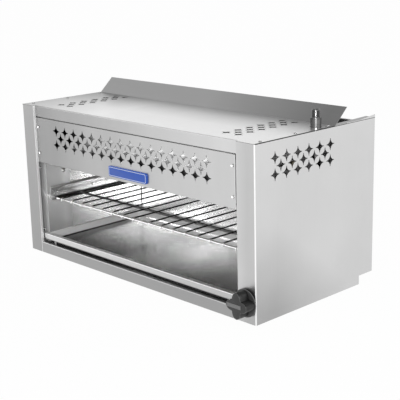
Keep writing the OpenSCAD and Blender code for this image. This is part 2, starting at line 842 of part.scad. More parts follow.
// A leaning sheet behind the front stars, hung from the ceiling
module front_reflector() {
    top_y = reflector_y + reflector_lean;
    color(steel) datum() extrude_x([wall_l + reflector_side_gap, wall_r - reflector_side_gap]) polygon([
        [reflector_y, ceiling_z - reflector_drop], [reflector_y + sheet_t, ceiling_z - reflector_drop],
        [top_y + sheet_t, ceiling_z], [top_y, ceiling_z]
    ]);
}

// ---------------------------------------------------------------- burner

module burner_plenum() {
    color(dark_steel) datum() difference() {
        block([burner_l, burner_r], [burner_y, burner_end_y], [plenum_z, plenum_z + plenum_h]);
        block([burner_l + plenum_t, burner_r - plenum_t], [burner_y + plenum_t, burner_end_y - plenum_t],
            [plenum_z - cut, plenum_z + plenum_h - plenum_t]);
        rod_x(venturi_r + fit_gap, [burner_r - plenum_t - cut, burner_r + cut], venturi_y, venturi_z);
    }
}

module ceramic_tiles() {
    color(ceramic) datum() for (i = [0:tiles_along - 1], j = [0:tiles_across - 1]) {
        x = burner_l + plenum_t + i * tile_w;
        y = burner_y + plenum_t + j * tile_d;
        block([x + tile_gap / 2, x + tile_w - tile_gap / 2], [y + tile_gap / 2, y + tile_d - tile_gap / 2],
            [plenum_z, plenum_z + tile_t]);
    }
}

module tile_retainer() {
    mid_y = burner_y + burner_d / 2;
    window_l = burner_l + plenum_t + retainer_lip;
    window_r = burner_r - plenum_t - retainer_lip;
    color(dark_steel) datum() difference() {
        block([burner_l - retainer_lap, burner_r + retainer_lap],
            [burner_y - retainer_margin, burner_end_y + retainer_margin], [burner_z, plenum_z]);
        block([window_l, window_r], [burner_y + plenum_t + retainer_lip, mid_y - retainer_lip / 2],
            [burner_z - cut, plenum_z + cut]);
        block([window_l, window_r], [mid_y + retainer_lip / 2, burner_end_y - plenum_t - retainer_lip],
            [burner_z - cut, plenum_z + cut]);
    }
}

module burner_screen() {
    bar_z = burner_z - screen_bar_r - touch_gap;
    rod_z0 = bar_z - screen_bar_r - screen_rod_r - touch_gap;
    first_x = burner_l + screen_margin + screen_rod_r;
    last_x = burner_r - screen_margin - screen_rod_r;
    color(wire_chrome) datum() {
        for (y = [burner_y + screen_inset, burner_end_y - screen_inset])
            rod_x(screen_bar_r, [burner_l + screen_margin, burner_r - screen_margin], y, bar_z);
        for (i = [0:screen_rods - 1])
            rod_y(screen_rod_r, first_x + i * (last_x - first_x) / (screen_rods - 1),
                [burner_y + screen_margin, burner_end_y - screen_margin], rod_z0);
    }
}

// An angle on the liner wall, which carries the end of the burner
module burner_bracket(wall_x) {
    y = [burner_y + screen_inset, burner_end_y - screen_inset];
    block([wall_x - burner_inset + burner_bracket_gap, wall_x], y, [burner_z - sheet_t, burner_z]);
    block([wall_x - sheet_t, wall_x], y, [burner_z - burner_bracket_h, burner_z]);
}

module burner_brackets() {
    color(dark_steel) datum() difference() {
        union() {
            burner_bracket(wall_r);
            mirror([1, 0, 0]) burner_bracket(-wall_l);
        }
        rod_x(pilot_r + liner_hole_gap, [wall_r - 2 * sheet_t, wall_r + cut], pilot_y, pilot_z);
    }
}

module venturi_tube() {
    color(dark_steel) datum() difference() {
        rod_x(venturi_r, [venturi_end_x, mouth_x], venturi_y, venturi_z);
        rod_x(venturi_r - venturi_wall, [venturi_end_x - cut, mouth_x + cut], venturi_y, venturi_z);
        air_holes();
    }
}

module air_holes() {
    rod_z(air_hole_r, mouth_x - shutter_inset - shutter_w / 2, venturi_y,
        [venturi_z - 2 * venturi_r, venturi_z + 2 * venturi_r]);
}

module air_shutter() {
    x = [mouth_x - shutter_inset - shutter_w, mouth_x - shutter_inset];
    color(zinc) datum() difference() {
        rod_x(venturi_r + shaft_gap + shutter_wall, x, venturi_y, venturi_z);
        rod_x(venturi_r + shaft_gap, [x[0] - cut, x[1] + cut], venturi_y, venturi_z);
        air_holes();
    }
}

// ---------------------------------------------------------------- gas train

module orifice_fitting() {
    tip_x = service_x - orifice_half - orifice_cone_len;
    color(brass) datum() difference() {
        union() {
            rod_x(orifice_r, [service_x - orifice_half, service_x + orifice_half], venturi_y, venturi_z);
            translate([tip_x, venturi_y, venturi_z]) rotate([0, 90, 0])
                cylinder(r1 = orifice_tip_r, r2 = orifice_cone_r, h = orifice_cone_len + cut);
            rod_y(orifice_boss_r, service_x, [venturi_y - orifice_boss_len, venturi_y], venturi_z);
        }
        rod_y(feed_r + fit_gap, service_x, [venturi_y - orifice_boss_len - cut, venturi_y - orifice_seat],
            venturi_z);
        rod_x(orifice_hole_r, [tip_x - cut, service_x], venturi_y, venturi_z);
    }
}

module burner_feed_tube() {
    color(zinc) datum() {
        rod_z(feed_r, service_x, outlet_y, [outlet_z - outlet_socket, venturi_z]);
        translate([service_x, outlet_y, venturi_z]) sphere(r = feed_r + knuckle);
        rod_y(feed_r, service_x, [outlet_y, venturi_y - orifice_seat], venturi_z);
    }
}

// A plain end in the coupling, a neck and the threaded end
module gas_inlet_nipple() {
    color(black_iron) datum() difference() {
        union() {
            rod_z(pipe_r, service_x, riser_y, [nipple_z, coupling_top]);
            rod_z(neck_r, service_x, riser_y, [coupling_top - cut, coupling_top + neck_h + cut]);
            rod_z(thread_r, service_x, riser_y, [coupling_top + neck_h, nipple_top]);
        }
        rod_z(bore_r, service_x, riser_y, [nipple_z - cut, nipple_top + cut]);
    }
}

module supply_riser() {
    low_z = knob_z + elbow_reach - elbow_socket;
    color(black_iron) datum() difference() {
        rod_z(pipe_r, service_x, riser_y, [low_z, riser_top]);
        rod_z(bore_r, service_x, riser_y, [low_z - cut, riser_top + cut]);
    }
}

module gas_inlet_coupling() {
    color(black_iron) datum() difference() {
        rod_z(coupling_r, service_x, riser_y, [coupling_z, coupling_top]);
        rod_z(socket_r, service_x, riser_y, [coupling_z - cut, coupling_top + cut]);
    }
}

module supply_elbow() {
    socket_z = knob_z + elbow_reach - elbow_socket;
    socket_y = riser_y - elbow_reach + elbow_socket;
    color(black_iron) datum() difference() {
        union() {
            translate([service_x, riser_y, knob_z]) sphere(r = elbow_r + knuckle);
            rod_z(elbow_r, service_x, riser_y, [knob_z, knob_z + elbow_reach]);
            rod_y(elbow_r, service_x, [riser_y - elbow_reach, riser_y], knob_z);
        }
        rod_z(bore_r, service_x, riser_y, [knob_z, knob_z + elbow_reach]);
        rod_y(bore_r, service_x, [riser_y - elbow_reach, riser_y], knob_z);
        rod_z(socket_r, service_x, riser_y, [socket_z, knob_z + elbow_reach + cut]);
        rod_y(socket_r, service_x, [riser_y - elbow_reach - cut, socket_y], knob_z);
    }
}

module supply_run() {
    y = [valve_y + valve_len + valve_inlet_len - valve_socket, riser_y - elbow_reach + elbow_socket];
    color(black_iron) datum() difference() {
        rod_y(pipe_r, service_x, y, knob_z);
        rod_y(bore_r, service_x, [y[0] - cut, y[1] + cut], knob_z);
    }
}

module gas_valve() {
    body_end = valve_y + valve_len;
    inlet_end = body_end + valve_inlet_len;
    color(brass) datum() difference() {
        union() {
            rod_y(valve_r, service_x, [valve_y, body_end], knob_z);
            rod_y(valve_inlet_r, service_x, [body_end - cut, inlet_end], knob_z);
            rod_z(outlet_r, service_x, outlet_y, [knob_z, outlet_z]);
        }
        rod_y(stem_r + shaft_gap, service_x, [valve_y - cut, valve_y + stem_seat], knob_z);
        rod_y(socket_r, service_x, [inlet_end - valve_socket, inlet_end + cut], knob_z);
        rod_z(feed_r + fit_gap, service_x, outlet_y, [outlet_z - outlet_socket, outlet_z + cut]);
    }
}

module valve_screw_holes() {
    for (s = [-1, 1])
        rod_y(shank_r + hole_gap, service_x, [frame_rail_y - cut, valve_y + cut],
            knob_z + s * bracket_screw_dz);
}

module valve_bracket() {
    color(zinc) datum() difference() {
        block([service_x - bracket_half_w, service_x + bracket_half_w], [valve_y - sheet_t, valve_y],
            [knob_z - bracket_half_h, knob_z + bracket_half_h]);
        rod_y(stem_hole_r, service_x, [valve_y - sheet_t - cut, valve_y + cut], knob_z);
        valve_screw_holes();
    }
}

module valve_stem() {
    y = [knob_back - knob_bore_d + run_gap, valve_y + stem_seat - run_gap];
    color(zinc) datum() rod_y(stem_r, service_x, y, knob_z);
}

// The skirt and the grip turn about the stem; the grip is a disc with four flutes
module control_knob() {
    color(black_plastic) datum() translate([service_x, knob_back, knob_z]) rotate([90, 0, 0]) difference() {
        union() {
            cylinder(r = skirt_dia / 2, h = skirt_t - skirt_round);
            translate([0, 0, skirt_t - skirt_round])
                cylinder(r1 = skirt_dia / 2, r2 = skirt_dia / 2 - skirt_round, h = skirt_round);
            difference() {
                union() {
                    cylinder(r = lobe_r, h = skirt_t + grip_d - grip_round);
                    translate([0, 0, skirt_t + grip_d - grip_round])
                        cylinder(r1 = lobe_r, r2 = lobe_r - grip_round, h = grip_round);
                }
                for (sx = [-1, 1], sy = [-1, 1])
                    translate([sx * flute_x, sy * flute_x, skirt_t]) cylinder(r = flute_r, h = grip_d + cut);
            }
        }
        translate([0, 0, -cut]) cylinder(r = stem_r + touch_gap, h = knob_bore_d + cut);
    }
}

module knob_pointer() {
    tip_x = service_x - lobe_r + grip_round + pointer_margin;
    color(pointer_grey) datum() block([tip_x, tip_x + pointer_len], [knob_face - pointer_t, knob_face],
        [knob_z - pointer_w / 2, knob_z + pointer_w / 2]);
}

module pilot_valve() {
    y = [pilot_y - pilot_band_w / 2, pilot_y + pilot_band_w / 2];
    color(brass) datum() difference() {
        union() {
            rod_y(pilot_band_r, service_x, y, knob_z);
            rod_z(pilot_body_r, service_x, pilot_y, [knob_z, pilot_body_top]);
        }
        rod_y(socket_r, service_x, [y[0] - cut, y[1] + cut], knob_z);
    }
}

module pilot_tube() {
    color(zinc) datum() {
        rod_z(pilot_r, service_x, pilot_y, [pilot_body_top, pilot_z]);
        translate([service_x, pilot_y, pilot_z]) sphere(r = pilot_r + knuckle);
        rod_x(pilot_r, [pilot_end_x, service_x], pilot_y, pilot_z);
    }
}

module pilot_burner() {
    end_x = pilot_end_x - pilot_burner_len;
    color(dark_steel) datum() difference() {
        rod_x(pilot_burner_r, [end_x, pilot_end_x], pilot_y, pilot_z);
        rod_x(pilot_burner_r - pilot_burner_wall, [end_x - cut, end_x + pilot_bore_len], pilot_y, pilot_z);
    }
}

module pilot_bracket() {
    x = [pilot_end_x - pilot_bracket_inset - pilot_bracket_w, pilot_end_x - pilot_bracket_inset];
    half = pilot_burner_r + pilot_bracket_wall;
    color(zinc) datum() difference() {
        block(x, [pilot_y - half, pilot_y + half], [pilot_z - half, burner_z - sheet_t]);
        rod_x(pilot_burner_r + fit_gap, [x[0] - cut, x[1] + cut], pilot_y, pilot_z);
    }
}

// ---------------------------------------------------------------- rack

module guide_screw_holes(wall_x) {
    for (y = guide_screw_ys)
        rod_x(shank_r + hole_gap, [wall_x - 2 * sheet_t, wall_x + 2 * sheet_t], y, guide_screw_z);
}

// A channel on the liner wall with a nose and an ear at its front end
module rack_guide(wall_x) {
    web = [wall_x - sheet_t, wall_x];
    lip = [wall_x - guide_w, wall_x];
    top_z = guide_ledge_z + guide_h;
    difference() {
        union() {
            block(web, [guide_y, guide_end_y], [guide_ledge_z - sheet_t, top_z]);
            block(lip, [guide_y, guide_end_y], [guide_ledge_z - sheet_t, guide_ledge_z]);
            block(lip, [guide_y, guide_end_y], [top_z - sheet_t, top_z]);
            block(web, [liner_y - sheet_t, guide_y + cut], [guide_nose_z, guide_nose_z + guide_nose_h]);
            extrude_y([liner_y - sheet_t, liner_y]) polygon([
                [wall_x - sheet_t, guide_nose_z], [wall_x - sheet_t, guide_nose_z + guide_nose_edge],
                [wall_x + guide_ear_w, guide_nose_z + 2 * guide_nose_h],
                [wall_x + guide_ear_w, guide_nose_z + guide_nose_h],
                [wall_x + sheet_t, guide_nose_z - guide_nose_h]
            ]);
        }
        guide_screw_holes(wall_x);
    }
}

module left_rack_guide() color(liner_steel) datum() mirror([1, 0, 0]) rack_guide(-wall_l);
module right_rack_guide() color(liner_steel) datum() rack_guide(wall_r);

// A quarter bend of a rack corner, from the side bar to the front or the rear bar
module rack_corner(x, y, sx, sy) {
    translate([x - sx * rack_bend_r, y - sy * rack_bend_r, rack_z])
        rotate([0, 0, sx > 0 ? (sy > 0 ? 0 : 270) : (sy > 0 ? 90 : 180)])
            rotate_extrude(angle = 90) translate([rack_bend_r, 0]) circle(r = bar_r);
}

module rack_frame() {
    rear_y = rack_y + rack_d;
    color(wire_chrome) datum() {
        for (x = [rack_l, rack_r])
            rod_y(bar_r, x, [rack_y + rack_bend_r, rear_y - rack_bend_r], rack_z);
        for (y = [rack_y, rear_y])
            rod_x(bar_r, [rack_l + rack_bend_r, rack_r - rack_bend_r], y, rack_z);
        rack_corner(rack_l, rack_y, -1, -1);
        rack_corner(rack_r, rack_y, 1, -1);
        rack_corner(rack_l, rear_y, -1, 1);
        rack_corner(rack_r, rear_y, 1, 1);
        rod_x(bar_r, [rack_l + bar_r + touch_gap, rack_r - bar_r - touch_gap], rack_y + rack_mid, rack_z);
    }
}

// The wires lie on the bars and bend down in front of the front bar
module rack_wires() {
    color(wire_chrome) datum() for (side = [-1, 1], i = [0:wires_a_side - 1]) {
        x = rack_mid_x + side * (wire_mid_gap / 2 + i * wire_pitch);
        rod_y(wire_r, x, [rack_y, rack_y + rack_d + wire_rear_lap], rack_z + wrap_r);
        translate([x, rack_y, rack_z]) rotate([0, -90, 0]) rotate([0, 0, -90])
            rotate_extrude(angle = 90) translate([wrap_r, 0]) circle(r = wire_r);
        rod_z(wire_r, x, rack_y - wrap_r, [rack_z - wire_tail, rack_z]);
    }
}

// ---------------------------------------------------------------- drip tray

module tray_screw_holes(wall_x) {
    for (y = tray_screw_ys)
        rod_x(shank_r + hole_gap, [wall_x - 2 * sheet_t, wall_x + 2 * sheet_t], y, tray_screw_z);
}

module tray_guide(wall_x) {
    difference() {
        union() {
            block([wall_x - sheet_t, wall_x], [tray_guide_y, tray_guide_end_y],
                [tray_ledge_z - tray_guide_web, tray_ledge_z]);
            block([wall_x - tray_ledge_w, wall_x], [tray_guide_y, tray_guide_end_y],
                [tray_ledge_z - sheet_t, tray_ledge_z]);
        }
        tray_screw_holes(wall_x);
    }
}

module left_tray_guide() color(liner_steel) datum() mirror([1, 0, 0]) tray_guide(-wall_l);
module right_tray_guide() color(liner_steel) datum() tray_guide(wall_r);

// Outline of the tray across its width, filled, at a distance inside its outer face
module tray_outline(inset) {
    top_z = tray_rim_z + (inset > 0 ? cut : 0);
    polygon([
        [tray_l + tray_flare + inset, tray_z + inset], [tray_r - tray_flare - inset, tray_z + inset],
        [tray_r - inset, top_z], [tray_l + inset, top_z]
    ]);
}

module drip_tray() {
    y = [tray_front_y, tray_front_y + tray_d];
    color(steel) datum() difference() {
        extrude_y(y) tray_outline(0);
        extrude_y([y[0] + sheet_t, y[1] - sheet_t]) tray_outline(sheet_t);
    }
}

// The bar across the front of the tray, which is its pull
module tray_front_bar() {
    low_x = tray_bar_l + tray_bar_corner;
    low_z = tray_bar_z + tray_bar_corner;
    color(steel) datum() {
        extrude_y([tray_bar_y, tray_bar_y + sheet_t]) {
            translate([low_x, tray_bar_z]) square([tray_bar_r - low_x, tray_bar_h]);
            translate([tray_bar_l, low_z]) square([tray_bar_r - tray_bar_l, tray_bar_h - tray_bar_corner]);
            translate([low_x, low_z]) circle(r = tray_bar_corner);
        }
        block([tray_bar_l, tray_bar_r], [tray_bar_y, tray_front_y + 2 * sheet_t],
            [tray_rim_z, tray_rim_z + sheet_t]);
    }
}

module tray_stop() {
    x = inner_l + tray_stop_x;
    color(steel) datum() block([x, x + tray_stop_w], [tray_bar_y, tray_bar_y + tray_stop_d],
        [rail_h + run_gap, tray_bar_z]);
}

// ---------------------------------------------------------------- fasteners

module top_panel_screws() {
    color(zinc) datum() for (sx = [-1, 1], y = top_screw_ys)
        screw_up(sx * (half_w - top_screw_inset), y, body_h);
}

module front_panel_screws() {
    color(zinc) datum() for (x = [panel_screw_l, panel_screw_r], s = [-1, 1])
        screw_front(x, front_recess, panel_screw_z + s * panel_screw_pitch / 2);
}

module liner_screws() {
    color(zinc) datum() {
        for (z = left_screw_zs) screw_front(wall_l - liner_screw_inset, liner_y, z);
        for (z = right_screw_zs) screw_front(wall_r + liner_screw_inset, liner_y, z);
    }
}

// Screws in the liner walls, with their heads in the cavity
module wall_screws(ys, z) {
    for (y = ys) {
        screw_left(wall_r - sheet_t, y, z);
        mirror([1, 0, 0]) screw_left(-wall_l - sheet_t, y, z);
    }
}

module rack_guide_screws() color(zinc) datum() wall_screws(guide_screw_ys, guide_screw_z);
module tray_guide_screws() color(zinc) datum() wall_screws(tray_screw_ys, tray_screw_z);

module back_panel_screws() {
    color(zinc) datum() for (i = [0:back_screw_count - 1], z = [back_screw_low_z, back_screw_high_z])
        screw_back(back_screw_x(i), body_d, z);
}

module valve_bracket_screws() {
    color(zinc) datum() for (s = [-1, 1]) screw_front(service_x, frame_rail_y, knob_z + s * bracket_screw_dz);
}

left_side_panel();
right_side_panel();
top_panel();
flue_deflector();
deflector_strip();
back_panel();
bottom_pan();
bottom_front_rail();
left_frame_rail();
right_frame_rail();
front_panel();
front_panel_stiffeners();
front_panel_brackets();
badge_plate();
left_liner();
right_liner();
rear_liner();
liner_plug();
ceiling_panel();
front_reflector();
burner_plenum();
ceramic_tiles();
tile_retainer();
burner_screen();
burner_brackets();
venturi_tube();
air_shutter();
orifice_fitting();
burner_feed_tube();
gas_inlet_nipple();
gas_inlet_coupling();
supply_riser();
supply_elbow();
supply_run();
gas_valve();
valve_bracket();
valve_stem();
control_knob();
knob_pointer();
pilot_valve();
pilot_tube();
pilot_burner();
pilot_bracket();
left_rack_guide();
right_rack_guide();
rack_frame();
rack_wires();
left_tray_guide();
right_tray_guide();
drip_tray();
tray_front_bar();
tray_stop();
top_panel_screws();
front_panel_screws();
liner_screws();
rack_guide_screws();
tray_guide_screws();
back_panel_screws();
valve_bracket_screws();
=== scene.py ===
import math

import bmesh
import bpy
from mathutils import Matrix, Vector


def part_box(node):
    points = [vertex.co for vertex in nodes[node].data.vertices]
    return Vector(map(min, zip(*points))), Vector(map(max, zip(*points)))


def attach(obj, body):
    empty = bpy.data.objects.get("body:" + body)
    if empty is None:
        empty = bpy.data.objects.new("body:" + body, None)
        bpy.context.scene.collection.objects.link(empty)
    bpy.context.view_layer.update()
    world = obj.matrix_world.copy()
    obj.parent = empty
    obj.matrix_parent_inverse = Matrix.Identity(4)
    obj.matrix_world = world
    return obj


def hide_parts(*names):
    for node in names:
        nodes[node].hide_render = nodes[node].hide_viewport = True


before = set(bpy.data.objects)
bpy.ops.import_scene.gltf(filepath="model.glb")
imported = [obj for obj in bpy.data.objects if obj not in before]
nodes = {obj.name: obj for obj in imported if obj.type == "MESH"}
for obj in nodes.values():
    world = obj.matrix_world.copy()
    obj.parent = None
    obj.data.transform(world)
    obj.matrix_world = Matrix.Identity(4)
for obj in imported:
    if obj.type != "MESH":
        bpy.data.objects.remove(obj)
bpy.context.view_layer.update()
scene = bpy.context.scene
scene.view_settings.view_transform = "Standard"


# ---------------------------------------------------------------- sizes, in metres

MM = 0.001
WELD = 0.001 * MM  # corners closer than this are one
FRONT = -0.19735  # where the front plane of the stiles is along Y

# The knob, with heights counted out from the stile.
HUB_R = 28 * MM
HUB_H = 4.5 * MM
SKIRT_MID = 5.5 * MM  # the middle of its thickness
SKIRT_H = 3 * MM
SKIRT_EDGE = 1.2 * MM
GRIP_FOOT = 5 * MM
GRIP_REACH = 33 * MM  # to the tip of a lobe
GRIP_WAIST = 20 * MM  # between two lobes
GRIP_EDGE = 1.6 * MM
LOBES = 4

# The badge, and the border on it.
BADGE_CORNER = 6 * MM
BADGE_EDGE = 1.2 * MM
BORDER_INSET = 2.5 * MM
BORDER_CORNER = 4.5 * MM
BORDER_W = 1.4 * MM
BORDER_H = 0.4 * MM
BORDER_SUNK = 0.05 * MM

# A pan-head screw.
HEAD_R = 4 * MM
HEAD_H = 2.4 * MM
HEAD_EDGE = 1.3 * MM
SEAT_H = 0.9 * MM  # the head is painted dark in shade below this
SHANK_R = 2 * MM
SLOT_W = 0.9 * MM
SLOT_REACH = 2.1 * MM
SLOT_DEPTH = 1.1 * MM


# ---------------------------------------------------------------- camera

def look(x, y, z, azimuth, down, roll, lens):
    """A camera at a place in metres, turned by angles in degrees."""
    a, e, t = (math.radians(v) for v in (azimuth, down, roll))
    forward = Vector((-math.sin(a) * math.cos(e), math.cos(a) * math.cos(e), -math.sin(e)))
    right = forward.cross(Vector((0, 0, 1))).normalized()
    up = right.cross(forward)
    right, up = (math.cos(t) * right + math.sin(t) * up, -math.sin(t) * right + math.cos(t) * up)
    data = bpy.data.cameras.new("photo_camera")
    data.lens = lens
    cam = bpy.data.objects.new("photo_camera", data)
    turn = Matrix((right, up, -forward)).transposed().to_4x4()
    cam.matrix_world = Matrix.Translation((x, y, z)) @ turn
    scene.collection.objects.link(cam)
    scene.camera = cam


look(x=1.94224, y=FRONT - 1.587046, z=0.882308, azimuth=46.3881, down=14.7649, roll=-1.42383, lens=88.817)


# ---------------------------------------------------------------- materials

BLACK = (0.0, 0.0, 0.0, 1.0)
WHITE = (1.0, 1.0, 1.0, 1.0)
GRAIN_TONE = 0.04  # how much the brushing changes the tone
GRAIN_ROUGH = 0.1  # and the roughness
GRAIN_DEPTH = 0.02 * MM


class Sock:
    """A node's output, on which arithmetic makes Math nodes."""

    def __init__(self, tree, out):
        self.tree, self.out = tree, out

    def math(self, op, *others, clamp=False):
        """A Math node that takes this output first."""
        return self.tree.node("ShaderNodeMath", {"operation": op, "use_clamp": clamp},
                              dict(enumerate((self, *others))))

    def __add__(self, v):
        return self.math("ADD", v)

    def __radd__(self, v):
        return self.math("ADD", v)

    def __mul__(self, v):
        return self.math("MULTIPLY", v)

    def __rmul__(self, v):
        return self.math("MULTIPLY", v)

    def __sub__(self, v):
        return self.math("SUBTRACT", v)

    def __rsub__(self, v):
        return self * -1 + v

    def __truediv__(self, v):
        return self.math("DIVIDE", v)

    def __rtruediv__(self, v):
        return self.math("POWER", -1.0) * v

    def __abs__(self):
        return self.math("ABSOLUTE")

    def clamp(self):
        """The value kept between 0 and 1."""
        return self.math("ADD", 0.0, clamp=True)


class Tree:
    """A node tree, filled by one method."""

    def __init__(self, tree):
        self.tree = tree

    def put(self, socket, value):
        """Links an output to a socket, or sets the socket's value."""
        if isinstance(value, Sock):
            self.tree.links.new(value.out, socket)
        else:
            socket.default_value = value

    def node(self, kind, settings=None, inputs=None, out=0):
        """A node by its type, its settings, and its sockets' values or links.

        Gives the output that is asked for, or all of them where out is None.
        """
        n = self.tree.nodes.new(kind)
        for k, v in (settings or {}).items():
            setattr(n, k, v)
        for k, v in (inputs or {}).items():
            self.put(n.inputs[k], v)
        if out is None:
            return [Sock(self, o) for o in n.outputs]
        return Sock(self, n.outputs[out])

    def place(self):
        """Object coordinates, in metres in the part's frame."""
        return self.node("ShaderNodeTexCoord", out="Object")

    def axes(self):
        """The place along each axis."""
        return self.node("ShaderNodeSeparateXYZ", inputs={0: self.place()}, out=None)

    def along(self, axis, start, end, low=0.0, high=1.0):
        """Goes from low to high between two places on an axis."""
        at = self.axes()["XYZ".index(axis)]
        return low + ((at - start) / (end - start)).clamp() * (high - low)

    def noise(self, scale, detail, rough):
        """Noise with its own scale along each axis, in waves per metre."""
        at = self.node("ShaderNodeMapping", inputs={"Vector": self.place(), "Scale": scale})
        return self.node("ShaderNodeTexNoise",
                         inputs={"Vector": at, "Scale": 1.0, "Detail": detail, "Roughness": rough})

    def blend(self, fac, a, b):
        """A colour between two, by a factor from 0 to 1."""
        return self.node("ShaderNodeMix", {"data_type": "RGBA"}, {0: fac, 6: a, 7: b}, out=2)


class Mat(Tree):
    """A material on the Principled shader."""

    def __init__(self, name, color, metallic=0.0, rough=0.5):
        self.mat = bpy.data.materials.new(name)
        self.mat.use_nodes = True
        super().__init__(self.mat.node_tree)
        self.bsdf = self.tree.nodes["Principled BSDF"]
        self.set("Base Color", (*color, 1.0))
        self.set("Metallic", metallic)
        self.set("Roughness", rough)

    def set(self, name, value):
        """Sets or links one of the shader's sockets."""
        self.put(self.bsdf.inputs[name], value)

    def grey(self, value):
        """A neutral base colour, from 0 for black to 1 for white."""
        self.set("Base Color", self.blend(value, BLACK, WHITE))

    def bump(self, height, depth):
        """Ridges of a depth in metres, from a height between 0 and 1."""
        self.set("Normal", self.node("ShaderNodeBump",
                                     inputs={"Height": height, "Strength": 0.5, "Distance": depth}))


def tone(v):
    """A neutral grey."""
    return (v, v, v)


def over(under, upper, fac):
    """What is under, covered by what is upper where fac is 1."""
    return under + (upper - under) * fac


def made(value, m):
    """A number as it is, or what a function makes of the material."""
    return value(m) if callable(value) else value


def brushed(name, tones, rough, grain, cloud=0.04, metal=1.0, patch=(4, 4, 4)):
    """Sheet steel with brushing and faint clouds.

    Tones, rough and metal are numbers, or functions of the material.
    """
    m = Mat(name, tone(0.5))
    fine = m.noise(grain, detail=3.0, rough=0.6)
    wide = m.noise(patch, detail=3.0, rough=0.55)
    m.grey(made(tones, m) + (wide - 0.5) * cloud + (fine - 0.5) * made(metal, m) * GRAIN_TONE)
    m.set("Roughness", made(rough, m) + (fine - 0.5) * GRAIN_ROUGH)
    m.set("Metallic", made(metal, m))
    m.bump(fine, GRAIN_DEPTH)
    return m.mat


def plain(name, color, metallic, rough):
    """A material that is the same all over."""
    return Mat(name, color, metallic, rough).mat


# ---- zones: 1 on one part of a piece, 0 elsewhere

def band(m, axis, low, high, soft=0.5 * MM):
    """1 between two places on an axis."""
    return m.along(axis, low - soft, low) * m.along(axis, high + soft, high)


def stile_edge(m):
    """The left stile's inner edge, which carries a painted highlight."""
    return m.along("X", -0.4060, -0.4050)


def flange(m):
    """The liners' front flanges."""
    return m.along("Y", -0.1708, -0.1714)


def outer_side(m):
    """The right liner's side towards the service column."""
    return m.along("X", 0.3957, 0.3961) * (1 - flange(m))


def flue(m):
    """The flue, high on the rear wall, painted dark as shade and made rougher and less metal."""
    return m.along("Z", 0.33, 0.37)


def behind_tray(m):
    """The rear wall's lowest part, close behind the tray."""
    return m.along("Z", 0.068, 0.060)


def ear(m):
    """The small ears at the guides' front ends, which carry painted highlights."""
    return m.along("Y", -0.1700, -0.1720)


def tray_side(m):
    """The tray's sides over its floor."""
    return m.along("Z", 0.0375, 0.0400)


# ---- tones, roughness and metal of each piece

def panel_tones(m):
    """The flat face, lighter to the right in painted light, and a painted highlight along its right edge."""
    # Painted light: the face grows lighter to the right.
    flat = m.along("X", -0.42, 0.05, 0.37, 0.56) + m.along("X", 0.05, 0.4, 0.0, 0.06)
    # Painted highlight on the bend along the face's right edge.
    edge_highlight = m.along("X", 0.3872, 0.3880)
    return over(flat, 0.95, edge_highlight)


def hem_tones(m):
    """The front panel's stiffeners, and the rail behind the left stile."""
    return m.along("X", -0.4, 0.4, 0.9, 0.95)


def rail_tones(m):
    """The front face, a painted highlight along the bend at its top, and painted shade on the top behind the
    bend.
    """
    face = m.along("X", -0.4, 0.4, 0.385, 0.355)
    # Painted highlight along the bend at the top.
    bend = m.along("Z", 0.0288, 0.0300)
    # Painted shade on the top behind the bend.
    top = m.along("Y", -0.1950, -0.1944)
    return over(over(face, 0.85, bend), 0.34, top)


def bar_tones(m):
    """The tray's front bar, darker to the right in painted light, with painted shade along its foot and a
    painted highlight along its top edge.
    """
    # Painted light, falling off to the right.
    face = m.along("X", -0.4, 0.4, 0.70, 0.50)
    # Painted shade along the foot.
    foot = m.along("Z", 0.0430, 0.0405)
    # Painted highlight along the top edge.
    edge = m.along("Z", 0.0540, 0.0550)
    return over(over(face, 0.3, foot), 1.0, edge)


def top_tones(m):
    """The front rail and the top itself, both lighter to the right in painted light, the front rail dark at
    its right end and the top darker towards the back, painted shade on the bend between them, and painted
    shadow lines along the sides.
    """
    # Painted light: both grow lighter to the right.
    front = over(m.along("X", -0.45, 0.35, 0.34, 0.68), 0.15, m.along("X", 0.3984, 0.3988))
    top = m.along("X", -0.45, -0.15, 0.56, 1.0) - m.along("Y", -0.08, 0.08, 0.0, 0.30)
    flat = over(front, top, m.along("Z", 0.4345, 0.4362))
    # Painted shade on the bend between the front rail and the top.
    bend = m.along("Y", FRONT + 1.6 * MM, FRONT + 0.6 * MM) * band(m, "Z", 0.4346, 0.4362)
    # Painted shadow lines along the sides, where the top meets the side panels.
    ends = m.along("X", 0.4560, 0.4566) + m.along("X", -0.4560, -0.4566)
    return over(over(flat, 0.22, bend), 0.04, ends * m.along("Z", 0.4352, 0.4354))


def slope_tones(m):
    """The deflector's slope, darker to the right in painted shade."""
    # Painted shade, growing to the right.
    return m.along("X", -0.45, 0.0, 0.59, 0.60) - m.along("X", 0.0, 0.42, 0.0, 0.33)


def wall_tones(m):
    """A side wall: painted shade low down near the front, and a painted shadow line along its upper edge."""
    # Painted shade low down near the front.
    high = (m.along("Z", 0.02, 0.24) + m.along("Y", -0.12, 0.15)).clamp()
    wall = m.along("Z", 0.02, 0.43, 0.64, 0.67) - (1 - high) * 0.22
    # Painted shadow line along the upper edge, under the top's edge.
    return over(wall, 0.05, band(m, "Z", 0.4342, 0.4353, 0.2 * MM))


def right_tones(m):
    """The stile, lighter higher up and towards its inner edge in painted light, a painted highlight on the
    bend at the corner, and the wall.
    """
    # Painted light: lighter higher up and towards the inner edge.
    stile = m.along("Z", 0.03, 0.12, 0.46, 0.55) + m.along("X", 0.43, 0.40, 0.0, 0.07)
    # Painted highlight on the bend at the corner.
    bend = m.along("X", 0.4540, 0.4556) * m.along("Y", FRONT + 3.5 * MM, FRONT + 1.5 * MM)
    behind = m.along("Y", FRONT + 1.2 * MM, FRONT + 3.0 * MM)
    return over(over(stile, wall_tones(m), behind), 0.97, bend)


